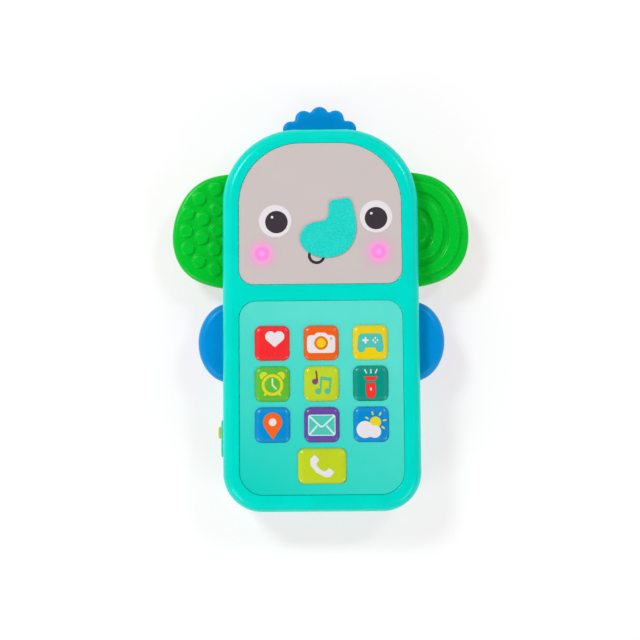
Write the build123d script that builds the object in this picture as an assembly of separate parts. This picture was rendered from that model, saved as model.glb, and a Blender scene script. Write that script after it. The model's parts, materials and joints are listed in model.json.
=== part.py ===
from build123d import *
import math
import os

# Toy phone in the shape of an elephant, in millimetres. The phone lies on its back on Z = 0, its face looks
# along +Z and its head points along +Y. Every piece is drawn about a point near the casing's middle, and
# save() moves it so that the origin ends up under the middle of the whole toy.

# ---- driving dimensions -------------------------------------------------------------------------------

# casing
CASE_HALF_WIDTH = 38.8
CASE_FOOT = -74.8
CASE_HEAD = 76.7
CASE_HEAD_RADIUS = 30.0
CASE_FOOT_RADIUS = 15.5
CASE_TOP = 24.0
WALL = 2.0
PARTING_HEIGHT = 12.0
TONGUE_HEIGHT = 1.3
FRONT_EDGE_RADIUS = 4.4
BACK_EDGE_RADIUS = 3.0
BACK_DRAFT_DEGREES = 5.0
SEAM_GROOVE = 0.25
WINDOW_EDGE_RADIUS = 0.5
FIT_GAP = 0.15
PANEL_GAP = 0.08
KEY_GAP = 0.1

# windows: half width, low Y, high Y, lower corner radius, upper corner radius
FACE_WINDOW = (32.2, 14.05, 70.5, 5.9, 24.6)
KEYPAD_WINDOW = (32.15, -68.15, 7.65, 9.2, 6.7)
LEDGE_WIDTH = 2.0
LEDGE_BOTTOM = 19.6
LEDGE_TOP = 21.1
PANEL_TOP = 23.6
PANEL_EDGE_CHAMFER = 0.15

# trunk on the face panel
TRUNK_THICKNESS = 0.5
TRUNK_CORNER_RADIUS = 1.7
# from the tip's right corner down round the root and back up to its left corner
TRUNK_OUTLINE = [
    (12.1, 48.4),
    (13.65, 41.2),
    (14.1, 36.2),
    (13.1, 31.3),
    (10.3, 27.3),
    (5.4, 24.95),
    (0.0, 24.8),
    (-4.35, 26.5),
    (-7.3, 29.65),
    (-7.8, 33.3),
    (-4.85, 37.6),
    (-0.45, 38.8),
    (2.5, 40.0),
    (3.5, 42.8),
    (3.5, 47.0),
]

# keys: columns by rows, then the wide call key
KEY_SIZE = 13.6
KEY_CORNER_RADIUS = 2.6
KEY_COLUMNS = (-19.2, 0.0, 19.2)
KEY_ROWS = (-9.05, -25.0, -40.95)
KEY_NAMES = (
    ("key_heart", "key_camera", "key_game"),
    ("key_clock", "key_music", "key_torch"),
    ("key_map", "key_mail", "key_weather"),
)
CALL_KEY_NAME = "key_call"
CALL_KEY_WIDTH = 18.8
CALL_KEY_LENGTH = 13.6
CALL_KEY_CORNER_RADIUS = 2.3
CALL_KEY_Y = -56.95
KEY_TOP = 25.0
KEY_EDGE_RADIUS = 1.2
KEY_FLANGE = 0.75
KEY_FLANGE_BOTTOM = 19.9
KEY_FLANGE_TOP = 21.0

# dome mat and main board
MAT_HALF_WIDTH = 27.4
MAT_LOW = -65.2
MAT_HIGH = -1.2
MAT_THICKNESS = 1.2
BOARD_TOP = 17.2
BOARD_THICKNESS = 1.6
BOARD_HALF_WIDTH = 33.3
BOARD_LOW = -66.2
BOARD_HIGH = 1.0
BOARD_CORNER_RADIUS = 11.5
DOME_TOP = 19.85
DOME_BASE_RADIUS = 4.6
DOME_TIP_RADIUS = 2.6

# screws
CASE_SCREW_PLACES = ((24.7, 61.7), (31.5, 10.6), (29.0, -66.0))
CASE_SCREW_SEAT = 7.0
CASE_SCREW_END = 16.5
CASE_POST_RADIUS = 2.8
CASE_WELL_RADIUS = 2.6
CASE_BOSS_RADIUS = 3.7
SCREW_HEAD_RADIUS = 2.3
SCREW_HEAD_HEIGHT = 1.6
SCREW_SHANK_RADIUS = 1.15
SCREW_HOLE_RADIUS = 1.45
SCREW_PILOT_RADIUS = 1.2
BOARD_SCREW_PLACES = ((31.0, -20.0), (31.0, -52.0))
BOARD_POST_RADIUS = 2.0
BOARD_SCREW_LENGTH = 4.6
BOARD_SCREW_HEAD_RADIUS = 1.9
BOARD_SCREW_HEAD_HEIGHT = 1.0
BOARD_SCREW_SHANK_RADIUS = 0.85
BOARD_SCREW_HOLE_RADIUS = 1.0
BOARD_SCREW_PILOT_RADIUS = 0.9
RECESS_REACH = 0.62
RECESS_DEPTH = 0.55
RECESS_HALF_WIDTH = 0.3

# parts on the underside of the main board
CHIP_PLACE = (9.0, -13.0)
CHIP_RADIUS = 6.0
CHIP_DOME_RADIUS = 9.7
CHIP_HEIGHT = 1.4
CAPACITOR_PLACES = ((-14.0, -14.0), (-8.0, -14.0))
CAPACITOR_RADIUS = 2.5
CAPACITOR_HEIGHT = 7.0
RESISTOR_COLUMNS = (20.0, -22.0)
RESISTOR_ROWS = (-8.0, -11.0, -14.0)
RESISTOR_SIZE = (2.0, 1.2, 0.6)

# cheek lamps
CHEEK_LEFT = (-23.0, 26.4)
CHEEK_RIGHT = (23.0, 26.8)
LED_BOARD_Y = 26.6
LED_BOARD_HALF_WIDTH = 32.6
LED_BOARD_HALF_LENGTH = 6.0
LED_BOARD_TOP = 15.0
LED_RADIUS = 2.5
LED_FLANGE_RADIUS = 2.9
LED_TIP = 20.2
CUP_RADIUS = 5.0
CUP_WALL = 0.8

# loudspeaker
SPEAKER_Y = 44.0
SPEAKER_RADIUS = 16.0
SPEAKER_RIM_HEIGHT = 1.0
SPEAKER_BASKET_TOP = 7.6
SPEAKER_BASKET_RADIUS = 8.0
SPEAKER_SHEET = 0.6
MAGNET_RADIUS = 7.5
MAGNET_HEIGHT = 3.4
GRILLE_HOLE_RADIUS = 0.9
GRILLE_PITCH = 2.9
GRILLE_RINGS = 4

# battery bay and AAA cells
BAY_HALF_WIDTH = 25.0
BAY_LOW = -48.5
BAY_HIGH = -25.5
BAY_TOP = 13.4
BAY_WALL = 1.5
CELL_RADIUS = 5.2
CELL_LENGTH = 44.5
CELL_NUB_RADIUS = 1.9
CELL_NUB_LENGTH = 0.9
CELL_Z = 7.4
CELL_PITCH = 10.9
CONTACT_SHEET = 0.4
CONTACT_SIZE = 8.6
TAB_Z = 11.0
TAB_HALF_WIDTH = 1.5
TAB_REACH = 1.2
SPRING_RADIUS = 2.9
SPRING_WIRE_RADIUS = 0.3
SPRING_TURNS = 4
DOOR_HALF_WIDTH = 28.6
DOOR_LOW = -50.5
DOOR_HIGH = -17.6
DOOR_THICKNESS = 1.7
DOOR_CORNER_RADIUS = 4.0
DOOR_PAD_HEIGHT = 3.4
DOOR_TAB_X = 15.0
DOOR_TAB_HALF_WIDTH = 4.0
DOOR_SCREW_Y = -21.4
DOOR_SCREW_SEAT = 1.9
DOOR_SCREW_END = 9.0
DOOR_BOSS_RADIUS = 5.2
DOOR_BOSS_TOP = 10.5
DOOR_NECK_RADIUS = 3.2
DOOR_NECK_HEIGHT = 3.4

# slide switch on the left wall
SWITCH_FRAME_Y = -46.2
SWITCH_FRAME_LENGTH = 15.0
SWITCH_FRAME_HEIGHT = 7.0
SWITCH_FRAME_PROUD = 1.6
SWITCH_Z = 7.2
SWITCH_TRAVEL = 5.0
KNOB_Y = -43.8
KNOB_LENGTH = 4.6
KNOB_HEIGHT = 3.4
KNOB_PROUD = 1.25
SLOT_SIDE_GAP = 0.2
SWITCH_SHELF_TOP = 4.9
SWITCH_BODY_TOP = 9.5
SWITCH_BODY_DEPTH = 4.4
SLIDE_COVER = 0.8
SLIDE_COVER_HALF_HEIGHT = 2.7
SWITCH_SHELF_SIZE = (3.5, 8.0)

# soft and blue parts held between the shells
ROOT_LOW = 10.5
ROOT_HIGH = 13.5
BEAD_LOW = 9.2
BEAD_HIGH = 14.8
EAR_LOW = 8.6
EAR_HIGH = 13.4
EAR_EDGE_RADIUS = 1.9
EAR_OUTLINE = [
    (34.0, 60.75),
    (40.35, 60.1),
    (46.65, 58.25),
    (52.75, 53.75),
    (57.0, 47.15),
    (59.3, 39.6),
    (59.65, 32.75),
    (57.55, 24.85),
    (52.75, 18.9),
    (46.45, 15.7),
    (40.4, 14.2),
    (34.0, 13.6),
]
EAR_ROOT_Y = 36.0
EAR_ROOT_LENGTH = 22.0
EAR_BUMP_RADIUS = 2.7
EAR_BUMP_TOP = 14.5
EAR_BUMP_EDGE_RADIUS = 0.7
EAR_BUMPS = [
    (42.0, 54.0),
    (41.7, 45.6),
    (41.8, 37.2),
    (42.5, 29.8),
    (42.4, 21.5),
    (48.7, 50.2),
    (47.2, 42.0),
    (47.6, 34.3),
    (48.8, 24.8),
    (53.3, 44.3),
    (53.9, 37.2),
    (53.3, 30.0),
]
EAR_RIDGE_CENTRE = (38.8, 37.0)
EAR_RIDGE_TOP = 14.6
EAR_RIDGE_EDGE_RADIUS = 0.5
# the outer and inner edge of each ridge, as shares of the ear's own outline across and along
EAR_RIDGES = [((0.815, 0.83), (0.61, 0.67)), ((0.5, 0.55), (0.315, 0.385)), ((0.205, 0.235), None)]
ARM_HALF_WIDTH = 12.75
ARM_HALF_LENGTH = 15.95
ARM_X = 36.4
ARM_Y = -8.05
ARM_LOW = 7.6
ARM_HIGH = 16.4
ARM_EDGE_RADIUS = 3.4
ARM_ROOT_LENGTH = 20.0
# each lobe's X, its Y above the head of the casing and its radius, from the middle one outwards
TUFT_LOBES = [(0.0, 7.2, 3.65), (6.4, 5.8, 3.5), (11.5, 1.55, 3.4)]
TUFT_NOTCH_RADIUS = 0.9
TUFT_LOW = 9.0
TUFT_HIGH = 15.0
TUFT_EDGE_RADIUS = 1.5
TUFT_ROOT_LENGTH = 14.0

# leads
LEAD_RADIUS = 0.55

TUFT_TIP = CASE_HEAD + TUFT_LOBES[0][1] + TUFT_LOBES[0][2]
FRAME_SHIFT = -(TUFT_TIP + CASE_FOOT) / 2
INNER_WALL = CASE_HALF_WIDTH - WALL
SLIDE_COVER_X = -INNER_WALL + 0.1
SWITCH_FACE_X = SLIDE_COVER_X + 2 * SLIDE_COVER
SWITCH_BACK_X = SWITCH_FACE_X + SWITCH_BODY_DEPTH
BOARD_BOTTOM = BOARD_TOP - BOARD_THICKNESS
SLOT_HIGH = KNOB_Y + KNOB_LENGTH / 2 + SLOT_SIDE_GAP
SLOT_LOW = KNOB_Y - SWITCH_TRAVEL - KNOB_LENGTH / 2 - SLOT_SIDE_GAP
LEFT_AND_RIGHT = (-1, 1)


# ---- helpers ------------------------------------------------------------------------------------------


def save(node, *shapes):
    """Moves a node's solids from where they are drawn to the toy's own origin and writes them."""
    solids = [solid for shape in shapes for solid in shape.solids()]
    moved = [Pos(0, FRAME_SHIFT, 0) * solid for solid in solids]
    export_step(moved[0] if len(moved) == 1 else Compound(moved), f"parts/{node}.step")


def plate_face(half_width, low, high, low_radius, high_radius):
    """A flat face about X = 0, with one radius on its lower and another on its upper corners."""
    face = Pos(0, (low + high) / 2) * Rectangle(2 * half_width, high - low)
    face = fillet(face.vertices().group_by(Axis.Y)[-1], high_radius)
    return fillet(face.vertices().group_by(Axis.Y)[0], low_radius)


def shrunk(window, inset):
    half_width, low, high, low_radius, high_radius = window
    return plate_face(half_width - inset, low + inset, high - inset, low_radius - inset, high_radius - inset)


def case_face(inset=0.0):
    outline = (CASE_HALF_WIDTH, CASE_FOOT, CASE_HEAD, CASE_FOOT_RADIUS, CASE_HEAD_RADIUS)
    return shrunk(outline, inset)


def slab(face, low, high):
    return Pos(0, 0, low) * extrude(face, high - low)


def block(x_low, x_high, y_low, y_high, z_low, z_high):
    centre = Pos((x_low + x_high) / 2, (y_low + y_high) / 2, (z_low + z_high) / 2)
    return centre * Box(x_high - x_low, y_high - y_low, z_high - z_low)


def rod(x, y, radius, low, high):
    return Pos(x, y, (low + high) / 2) * Cylinder(radius, high - low)


def rod_along_x(y, z, radius, x_low, x_high):
    return Pos((x_low + x_high) / 2, y, z) * Rot(0, 90, 0) * Cylinder(radius, x_high - x_low)


def mirrored_places(places):
    return [(side * x, y) for x, y in places for side in LEFT_AND_RIGHT]


def edges_on(shape, wire):
    """The shape's edges that lie on a wire."""
    return shape.edges().filter_by(lambda edge: wire.distance_to(edge @ 0.5) < 0.01)


def lead(points, radii):
    """A round lead through the points, with one bend radius for each inner point."""
    path = FilletPolyline(*points, radius=radii)
    start = Plane(origin=path @ 0, z_dir=path % 0)
    return sweep(start * Circle(LEAD_RADIUS), path=path)


# ---- casing -------------------------------------------------------------------------------------------


def wall_slots():
    """The slots through the side and top walls that the ears, arms and tuft pass through."""
    low, high = ROOT_LOW - FIT_GAP, ROOT_HIGH + FIT_GAP
    near, far = CASE_HALF_WIDTH - WALL - 1, CASE_HALF_WIDTH + 1
    slots = []
    for middle, length in ((EAR_ROOT_Y, EAR_ROOT_LENGTH), (ARM_Y, ARM_ROOT_LENGTH)):
        half = length / 2 + FIT_GAP
        slots.append(block(near, far, middle - half, middle + half, low, high))
        slots.append(block(-far, -near, middle - half, middle + half, low, high))
    half = TUFT_ROOT_LENGTH / 2 + FIT_GAP
    near, far = CASE_HEAD - WALL - 1, CASE_HEAD + 1
    slots.append(block(-half, half, near, far, low, high))
    return slots


def front_shell():
    shell = slab(case_face(), PARTING_HEIGHT, CASE_TOP)
    shell = fillet(shell.edges().group_by(Axis.Z)[-1], FRONT_EDGE_RADIUS)
    shell -= slab(case_face(WALL), PARTING_HEIGHT, LEDGE_BOTTOM)
    groove = slab(case_face(WALL / 2), PARTING_HEIGHT, PARTING_HEIGHT + TONGUE_HEIGHT + FIT_GAP)
    shell -= groove - slab(case_face(WALL), PARTING_HEIGHT, PARTING_HEIGHT + TONGUE_HEIGHT + FIT_GAP)
    for window in (FACE_WINDOW, KEYPAD_WINDOW):
        shell -= slab(shrunk(window, 0), LEDGE_TOP, CASE_TOP)
        shell -= slab(shrunk(window, LEDGE_WIDTH), LEDGE_BOTTOM, LEDGE_TOP)
        rim = (Pos(0, 0, CASE_TOP) * shrunk(window, 0)).face().outer_wire()
        shell = fillet(edges_on(shell, rim), WINDOW_EDGE_RADIUS)
    for x, y in mirrored_places(CASE_SCREW_PLACES):
        shell += rod(x, y, CASE_POST_RADIUS, PARTING_HEIGHT, LEDGE_BOTTOM + 0.5)
        shell -= rod(x, y, SCREW_PILOT_RADIUS, PARTING_HEIGHT, CASE_SCREW_END + 0.5)
    for x, y in mirrored_places(BOARD_SCREW_PLACES):
        shell += rod(x, y, BOARD_POST_RADIUS, BOARD_TOP, LEDGE_BOTTOM + 0.5)
        shell -= rod(x, y, BOARD_SCREW_PILOT_RADIUS, BOARD_TOP, LEDGE_BOTTOM + 0.8)
    for side in LEFT_AND_RIGHT:
        x = side * BOARD_SCREW_PLACES[0][0]
        shell += rod(x, LED_BOARD_Y, BOARD_POST_RADIUS, LED_BOARD_TOP, LEDGE_BOTTOM + 0.5)
        shell -= rod(x, LED_BOARD_Y, BOARD_SCREW_PILOT_RADIUS, LED_BOARD_TOP, LED_BOARD_TOP + 4)
    for slot in wall_slots():
        shell -= slot
    return shell


def grille_places():
    """A centre hole and rings of holes round it, each ring with six more than the one inside it."""
    places = [(0.0, SPEAKER_Y)]
    for ring in range(1, GRILLE_RINGS + 1):
        count = 6 * ring
        for step in range(count):
            turn = 2 * math.pi * step / count
            radius = GRILLE_PITCH * ring
            places.append((radius * math.cos(turn), SPEAKER_Y + radius * math.sin(turn)))
    return places


def rear_shell():
    seam = Pos(0, 0, PARTING_HEIGHT) * case_face()
    shell = extrude(seam, PARTING_HEIGHT, dir=(0, 0, -1), taper=BACK_DRAFT_DEGREES)
    shell = fillet(shell.edges().group_by(Axis.Z)[0], BACK_EDGE_RADIUS)
    shell -= slab(case_face(-1) - case_face(SEAM_GROOVE), PARTING_HEIGHT - SEAM_GROOVE, PARTING_HEIGHT)
    shell -= slab(case_face(WALL), WALL, PARTING_HEIGHT)
    tongue = slab(case_face(WALL / 2 + FIT_GAP), PARTING_HEIGHT - 1, PARTING_HEIGHT + TONGUE_HEIGHT)
    shell += tongue - slab(case_face(WALL), PARTING_HEIGHT - 1, PARTING_HEIGHT + TONGUE_HEIGHT)
    for slot in wall_slots():
        shell -= slot
    # battery bay with the sunk door seat round it
    pad_x = DOOR_HALF_WIDTH + 2
    shell += block(-pad_x, pad_x, DOOR_LOW - 2.5, DOOR_HIGH + 2, 1, DOOR_PAD_HEIGHT)
    shell += block(
        -BAY_HALF_WIDTH - BAY_WALL,
        BAY_HALF_WIDTH + BAY_WALL,
        BAY_LOW - BAY_WALL,
        BAY_HIGH + BAY_WALL,
        1,
        BAY_TOP + BAY_WALL,
    )
    shell += rod(0, DOOR_SCREW_Y, DOOR_BOSS_RADIUS, 1, DOOR_BOSS_TOP)
    door_seat = plate_face(DOOR_HALF_WIDTH, DOOR_LOW, DOOR_HIGH, DOOR_CORNER_RADIUS, DOOR_CORNER_RADIUS)
    shell -= slab(door_seat, 0, DOOR_THICKNESS + 0.1)
    shell -= block(-BAY_HALF_WIDTH, BAY_HALF_WIDTH, BAY_LOW, BAY_HIGH, 0, BAY_TOP)
    shell -= rod(0, DOOR_SCREW_Y, DOOR_NECK_RADIUS + 0.2, 0, DOOR_NECK_HEIGHT + 0.2)
    shell -= rod(0, DOOR_SCREW_Y, SCREW_PILOT_RADIUS, 0, DOOR_SCREW_END + 0.6)
    for side in LEFT_AND_RIGHT:
        middle, half = side * DOOR_TAB_X, DOOR_TAB_HALF_WIDTH + 0.2
        shell -= block(middle - half, middle + half, DOOR_LOW - 1.8, DOOR_LOW + 1, 0.8, 1.8)
    # slits for the solder tabs of the contacts
    slit_end, half_slit = BAY_HALF_WIDTH + BAY_WALL + 1, TAB_HALF_WIDTH + 0.2
    for y in cell_rows():
        shell -= block(BAY_HALF_WIDTH - 1, slit_end, y - half_slit, y + half_slit, TAB_Z - 0.1, TAB_Z + 0.5)
    # screw wells
    for x, y in mirrored_places(CASE_SCREW_PLACES):
        shell += rod(x, y, CASE_BOSS_RADIUS, 1, PARTING_HEIGHT - 0.05)
    for x, y in mirrored_places(CASE_SCREW_PLACES):
        shell -= rod(x, y, CASE_WELL_RADIUS, 0, CASE_SCREW_SEAT)
        shell -= rod(x, y, SCREW_HOLE_RADIUS, 0, PARTING_HEIGHT)
    # loudspeaker seat and grille
    shell += rod(0, SPEAKER_Y, SPEAKER_RADIUS + 1.8, 1, 5.4) - rod(0, SPEAKER_Y, SPEAKER_RADIUS + 0.2, 1, 5.4)
    shell -= Part() + [rod(x, y, GRILLE_HOLE_RADIUS, 0, WALL) for x, y in grille_places()]
    # raised frame and slot of the slide switch, and the shelf that carries the switch
    frame_low = SWITCH_FRAME_Y - SWITCH_FRAME_LENGTH / 2
    frame_high = SWITCH_FRAME_Y + SWITCH_FRAME_LENGTH / 2
    half_height = SWITCH_FRAME_HEIGHT / 2
    frame = block(
        -CASE_HALF_WIDTH - SWITCH_FRAME_PROUD,
        -CASE_HALF_WIDTH + 1,
        frame_low,
        frame_high,
        SWITCH_Z - half_height,
        SWITCH_Z + half_height,
    )
    frame = fillet(frame.edges().filter_by(Axis.X), half_height - 0.6)
    frame = fillet(frame.faces().sort_by(Axis.X)[0].edges(), 0.6)
    shell += frame
    half_slot = KNOB_HEIGHT / 2 + SLOT_SIDE_GAP
    slot_x = -CASE_HALF_WIDTH
    shell -= block(slot_x - 3, slot_x + 3, SLOT_LOW, SLOT_HIGH, SWITCH_Z - half_slot, SWITCH_Z + half_slot)
    shelf_x = SWITCH_FACE_X + 0.5
    depth, length = SWITCH_SHELF_SIZE
    shelf_low = SWITCH_FRAME_Y - length / 2
    shell += block(shelf_x, shelf_x + depth, shelf_low, shelf_low + length, 1, SWITCH_SHELF_TOP)
    return shell


def panel(window, thickness_low):
    sheet = slab(shrunk(window, PANEL_GAP), thickness_low, PANEL_TOP)
    return chamfer(sheet.edges().group_by(Axis.Z)[-1], PANEL_EDGE_CHAMFER)


# ---- face ---------------------------------------------------------------------------------------------


def trunk_patch():
    """The raised trunk, whose tip is cut straight across between two small corners."""
    face = make_face(Curve() + [Spline(*TRUNK_OUTLINE), Line(TRUNK_OUTLINE[-1], TRUNK_OUTLINE[0])])
    face = fillet(face.vertices(), TRUNK_CORNER_RADIUS)
    return slab(face, PANEL_TOP, PANEL_TOP + TRUNK_THICKNESS)


def led(place):
    x, y = place
    dome = Pos(x, y, LED_TIP - LED_RADIUS) * Sphere(LED_RADIUS)
    stem = rod(x, y, LED_RADIUS, LED_BOARD_TOP, LED_TIP - LED_RADIUS)
    return stem + dome + rod(x, y, LED_FLANGE_RADIUS, LED_BOARD_TOP, LED_BOARD_TOP + 1)


def light_cup(place):
    x, y = place
    cup = rod(x, y, CUP_RADIUS, LED_BOARD_TOP, LEDGE_TOP - 0.1)
    return cup - rod(x, y, CUP_RADIUS - CUP_WALL, 0, CASE_TOP)


def led_board():
    board = block(
        -LED_BOARD_HALF_WIDTH,
        LED_BOARD_HALF_WIDTH,
        LED_BOARD_Y - LED_BOARD_HALF_LENGTH,
        LED_BOARD_Y + LED_BOARD_HALF_LENGTH,
        LED_BOARD_TOP - BOARD_THICKNESS,
        LED_BOARD_TOP,
    )
    for side in LEFT_AND_RIGHT:
        board -= rod(side * BOARD_SCREW_PLACES[0][0], LED_BOARD_Y, BOARD_SCREW_HOLE_RADIUS, 0, CASE_TOP)
    return board


# ---- keys ---------------------------------------------------------------------------------------------


def key_faces():
    """Each key's name, centre, width, length and corner radius."""
    for y, names in zip(KEY_ROWS, KEY_NAMES):
        for x, name in zip(KEY_COLUMNS, names):
            yield name, x, y, KEY_SIZE, KEY_SIZE, KEY_CORNER_RADIUS
    yield CALL_KEY_NAME, 0.0, CALL_KEY_Y, CALL_KEY_WIDTH, CALL_KEY_LENGTH, CALL_KEY_CORNER_RADIUS


def key(x, y, width, length, corner):
    """A cap with a well rounded top, on a flange that stops it under the keypad panel."""
    cap = slab(RectangleRounded(width, length, corner), KEY_FLANGE_BOTTOM, KEY_TOP)
    cap = fillet(cap.edges().group_by(Axis.Z)[-1], KEY_EDGE_RADIUS)
    flange = RectangleRounded(width + 2 * KEY_FLANGE, length + 2 * KEY_FLANGE, corner)
    return Pos(x, y, 0) * (cap + slab(flange, KEY_FLANGE_BOTTOM, KEY_FLANGE_TOP))


def keypad_panel():
    sheet = panel(KEYPAD_WINDOW, LEDGE_TOP)
    for _, x, y, width, length, corner in key_faces():
        opening = RectangleRounded(width + 2 * KEY_GAP, length + 2 * KEY_GAP, corner + KEY_GAP)
        sheet -= Pos(x, y, 0) * slab(opening, 0, CASE_TOP)
    return sheet


def dome_mat():
    mat_top = BOARD_TOP + MAT_THICKNESS
    mat = slab(plate_face(MAT_HALF_WIDTH, MAT_LOW, MAT_HIGH, 4, 4), BOARD_TOP, mat_top)
    for _, x, y, *_ in key_faces():
        height = DOME_TOP - mat_top
        mat += Pos(x, y, mat_top + height / 2) * Cone(DOME_BASE_RADIUS, DOME_TIP_RADIUS, height)
        mat -= rod(x, y, DOME_TIP_RADIUS - 0.6, BOARD_TOP, mat_top + 0.2)
    return mat


# ---- electronics --------------------------------------------------------------------------------------


def main_board():
    face = plate_face(BOARD_HALF_WIDTH, BOARD_LOW, BOARD_HIGH, BOARD_CORNER_RADIUS, 3)
    board = slab(face, BOARD_BOTTOM, BOARD_TOP)
    for x, y in mirrored_places(CASE_SCREW_PLACES):
        board -= rod(x, y, CASE_POST_RADIUS + 0.4, 0, CASE_TOP)
    for x, y in mirrored_places(BOARD_SCREW_PLACES):
        board -= rod(x, y, BOARD_SCREW_HOLE_RADIUS, 0, CASE_TOP)
    return board


def chip_blob():
    """A low dome of epoxy that hangs from the board."""
    x, y = CHIP_PLACE
    ball = Pos(x, y, BOARD_BOTTOM + CHIP_DOME_RADIUS - CHIP_HEIGHT) * Sphere(CHIP_DOME_RADIUS)
    return ball & rod(x, y, CHIP_RADIUS, BOARD_BOTTOM - 2, BOARD_BOTTOM)


def capacitors():
    low = BOARD_BOTTOM - CAPACITOR_HEIGHT
    return [rod(x, y, CAPACITOR_RADIUS, low, BOARD_BOTTOM) for x, y in CAPACITOR_PLACES]


def resistors():
    height = RESISTOR_SIZE[2]
    return [
        Pos(x, y, BOARD_BOTTOM - height / 2) * Box(*RESISTOR_SIZE)
        for x in RESISTOR_COLUMNS
        for y in RESISTOR_ROWS
    ]


def screw(x, y, seat, end, head_radius, head_height, shank_radius):
    """A pan-head screw driven upwards, with a cross recess in its head."""
    body = rod(x, y, head_radius, seat - head_height, seat) + rod(x, y, shank_radius, seat, end)
    arm = head_radius * RECESS_REACH
    depth = head_height * RECESS_DEPTH
    for wide, deep in ((arm, RECESS_HALF_WIDTH), (RECESS_HALF_WIDTH, arm)):
        body -= block(x - wide, x + wide, y - deep, y + deep, seat - head_height, seat - head_height + depth)
    return body


def case_screws():
    return [
        screw(x, y, CASE_SCREW_SEAT, CASE_SCREW_END, SCREW_HEAD_RADIUS, SCREW_HEAD_HEIGHT, SCREW_SHANK_RADIUS)
        for x, y in mirrored_places(CASE_SCREW_PLACES)
    ]


def board_screws():
    places = [(x, y, BOARD_BOTTOM) for x, y in mirrored_places(BOARD_SCREW_PLACES)]
    x, seat = BOARD_SCREW_PLACES[0][0], LED_BOARD_TOP - BOARD_THICKNESS
    places += [(side * x, LED_BOARD_Y, seat) for side in LEFT_AND_RIGHT]
    return [
        screw(
            x,
            y,
            seat,
            seat + BOARD_SCREW_LENGTH,
            BOARD_SCREW_HEAD_RADIUS,
            BOARD_SCREW_HEAD_HEIGHT,
            BOARD_SCREW_SHANK_RADIUS,
        )
        for x, y, seat in places
    ]


def turned(profile):
    """Turns a closed profile, given as radius and height, about the loudspeaker's axis."""
    face = make_face(Polyline(*profile, close=True))
    return Pos(0, SPEAKER_Y, 0) * revolve(Plane.XZ * face, Axis.Z)


def speaker_frame():
    rim_top = WALL + SPEAKER_RIM_HEIGHT
    return turned(
        [
            (SPEAKER_RADIUS - 2.4, WALL),
            (SPEAKER_RADIUS, WALL),
            (SPEAKER_RADIUS, rim_top),
            (SPEAKER_RADIUS - 1.6, rim_top),
            (SPEAKER_BASKET_RADIUS, SPEAKER_BASKET_TOP),
            (2.0, SPEAKER_BASKET_TOP),
            (2.0, SPEAKER_BASKET_TOP - SPEAKER_SHEET),
            (SPEAKER_BASKET_RADIUS - 0.5, SPEAKER_BASKET_TOP - SPEAKER_SHEET),
            (SPEAKER_RADIUS - 2.4, rim_top - 0.4),
        ]
    )


def speaker_cone():
    return turned(
        [
            (0, WALL + 0.9),
            (4.0, WALL + 2.2),
            (SPEAKER_RADIUS - 2.5, WALL + 0.3),
            (SPEAKER_RADIUS - 2.5, WALL + 0.6),
            (4.0, WALL + 2.9),
            (0, WALL + 1.5),
        ]
    )


def speaker_magnet():
    return rod(0, SPEAKER_Y, MAGNET_RADIUS, SPEAKER_BASKET_TOP, SPEAKER_BASKET_TOP + MAGNET_HEIGHT)


# ---- battery bay --------------------------------------------------------------------------------------


def cell_rows():
    middle = (BAY_LOW + BAY_HIGH) / 2
    return (middle + CELL_PITCH / 2, middle - CELL_PITCH / 2)


def cell(y, side):
    """An AAA cell along X whose button end touches the contact on the given side."""
    end = BAY_HALF_WIDTH - CONTACT_SHEET
    body = rod_along_x(y, CELL_Z, CELL_RADIUS, end - CELL_LENGTH, end - CELL_NUB_LENGTH)
    body = fillet(body.edges(), 0.4)
    body += rod_along_x(y, CELL_Z, CELL_NUB_RADIUS, end - CELL_NUB_LENGTH - 0.5, end)
    return body if side > 0 else Rot(0, 0, 180) * (Pos(0, -2 * y, 0) * body)


def contact_plate(y_low, y_high, side):
    half = CONTACT_SIZE / 2
    plate = block(BAY_HALF_WIDTH - CONTACT_SHEET, BAY_HALF_WIDTH, y_low, y_high, CELL_Z - half, CELL_Z + half)
    return plate if side > 0 else mirror(plate, Plane.YZ)


def contact_tab(y):
    """The strip that leaves the bay through its slit, for a lead to be soldered to."""
    start, end = BAY_HALF_WIDTH - CONTACT_SHEET, BAY_HALF_WIDTH + BAY_WALL + TAB_REACH
    return block(start, end, y - TAB_HALF_WIDTH, y + TAB_HALF_WIDTH, TAB_Z, TAB_Z + CONTACT_SHEET)


def contact_spring(y, side):
    room = 2 * (BAY_HALF_WIDTH - CONTACT_SHEET) - CELL_LENGTH
    length = room - 2 * SPRING_WIRE_RADIUS - 0.1
    coil = Helix(pitch=length / SPRING_TURNS, height=length, radius=SPRING_RADIUS)
    start = Plane(origin=coil @ 0, z_dir=coil % 0)
    spring = sweep(start * Circle(SPRING_WIRE_RADIUS), path=coil, is_frenet=True)
    base = BAY_HALF_WIDTH - CONTACT_SHEET - SPRING_WIRE_RADIUS - 0.05
    return Pos(side * base, y, CELL_Z) * Rot(0, -90 * side, 0) * spring


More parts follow.
